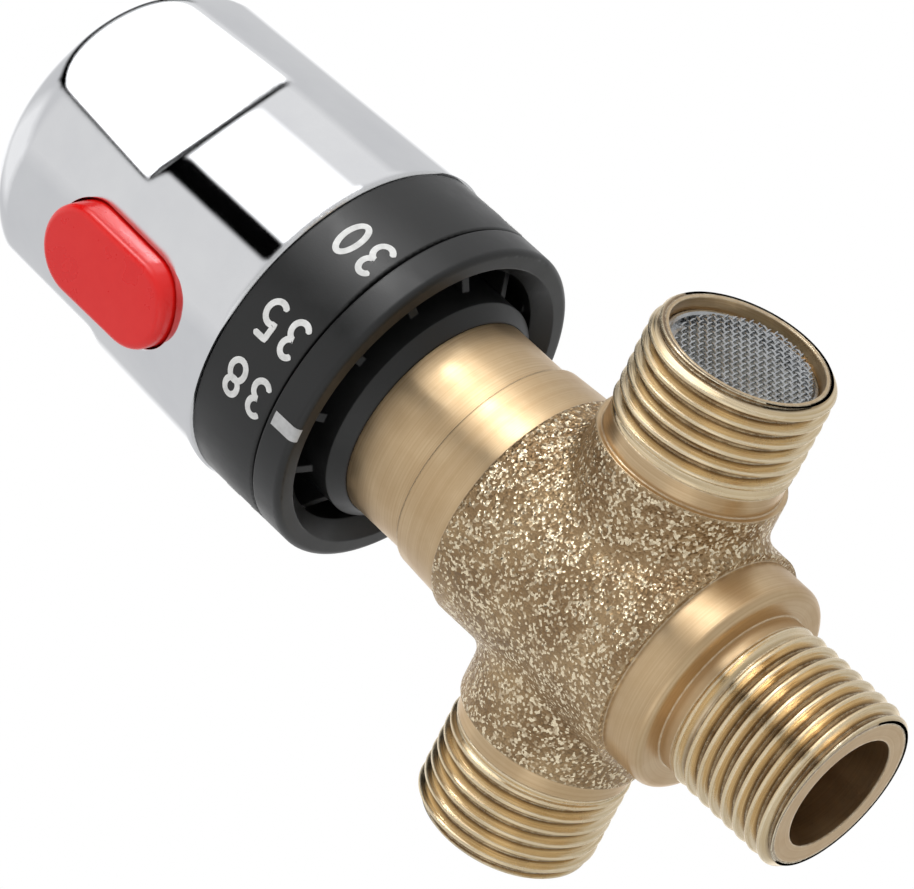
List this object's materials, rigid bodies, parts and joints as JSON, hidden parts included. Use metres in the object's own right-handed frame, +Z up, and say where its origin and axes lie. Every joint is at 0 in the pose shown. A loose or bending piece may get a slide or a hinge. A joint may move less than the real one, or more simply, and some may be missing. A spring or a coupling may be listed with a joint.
{
  "type": "thermostatic mixing valve",
  "caption": "Brass tee-shaped thermostatic mixing valve with male threaded ends, a chromed domed knob, a black temperature scale and a red safety button.",
  "frame": {"origin": "centre of the mixed outlet's end face", "axes": "+Z up along the knob's axis, +X out of the cold inlet, -Y towards the front with the index mark"},
  "size_m": [0.065, 0.044, 0.1216],
  "materials": {
    "cast_brass": "sandblasted casting with machined ends",
    "turned_brass": "fine turned",
    "chrome_plate": "polished plate",
    "black_plastic": "semi-gloss moulding",
    "red_plastic": "gloss moulding",
    "white_plastic": "acetal moulding",
    "copper": "drawn copper",
    "steel": "bright stainless",
    "rubber": "moulded rubber"
  },
  "bodies": {
    "valve": {"valve_body": "cast_brass", "bonnet": "turned_brass", "bonnet_seal": "rubber", "cartridge_sleeve": "turned_brass", "sleeve_seal_lower": "rubber", "sleeve_seal_middle": "rubber", "sleeve_seal_upper": "rubber", "seat_ring": "turned_brass", "return_spring": "steel", "stop_ring": "black_plastic", "ring_clip": "steel", "cold_check_housing": "white_plastic", "cold_check_ring": "rubber", "cold_check_spring": "steel", "cold_filter_frame": "steel", "cold_filter_mesh": "steel", "hot_check_housing": "white_plastic", "hot_check_ring": "rubber", "hot_check_spring": "steel", "hot_filter_frame": "steel", "hot_filter_mesh": "steel"},
    "knob": {"knob_shell": "chrome_plate", "scale_ring": "black_plastic", "knob_carrier": "black_plastic", "knob_screw": "steel", "spindle": "turned_brass", "spindle_seal_lower": "rubber", "spindle_seal_upper": "rubber", "thrust_washer": "white_plastic", "button_spring": "steel"},
    "button": {"stop_button": "red_plastic"},
    "adjuster_nut": {"adjuster": "turned_brass", "cup_clip": "steel", "overload_cup": "turned_brass", "overload_spring": "steel", "element_pin": "steel"},
    "shuttle_set": {"shuttle": "white_plastic", "shuttle_seal": "rubber", "wax_element": "copper"},
    "cold_poppet": {"cold_check_poppet": "white_plastic", "cold_check_seal": "rubber"},
    "hot_poppet": {"hot_check_poppet": "white_plastic", "hot_check_seal": "rubber"}
  },
  "joints": [
    {"name": "knob_turn", "type": "hinge", "parent": "valve", "child": "knob", "pos_m": [0, 0, 0.09], "axis": [0, 0, 1], "range_deg": [-130, 0]},
    {"name": "button_press", "type": "slide", "parent": "knob", "child": "button", "axis": [0.0523, 0.9986, 0], "range_m": [0, 0.0016], "stiffness_N_per_m": 600, "springref_m": -0.003, "deforming": ["button_spring"]},
    {"name": "adjuster_travel", "type": "slide", "parent": "valve", "child": "adjuster_nut", "axis": [0, 0, 1], "range_m": [-0.0011, 0]},
    {"name": "shuttle_travel", "type": "slide", "parent": "valve", "child": "shuttle_set", "axis": [0, 0, 1], "range_m": [-0.0005, 0.0005], "stiffness_N_per_m": 4000, "deforming": ["return_spring"]},
    {"name": "cold_check_lift", "type": "slide", "parent": "valve", "child": "cold_poppet", "axis": [-1, 0, 0], "range_m": [0, 0.002], "stiffness_N_per_m": 150, "springref_m": -0.004, "deforming": ["cold_check_spring"]},
    {"name": "hot_check_lift", "type": "slide", "parent": "valve", "child": "hot_poppet", "axis": [1, 0, 0], "range_m": [0, 0.002], "stiffness_N_per_m": 150, "springref_m": -0.004, "deforming": ["hot_check_spring"]}
  ],
  "couplings": [
    {"joint": "adjuster_travel", "follows": "knob_turn", "m_per_rad": 0.00047746}
  ]
}
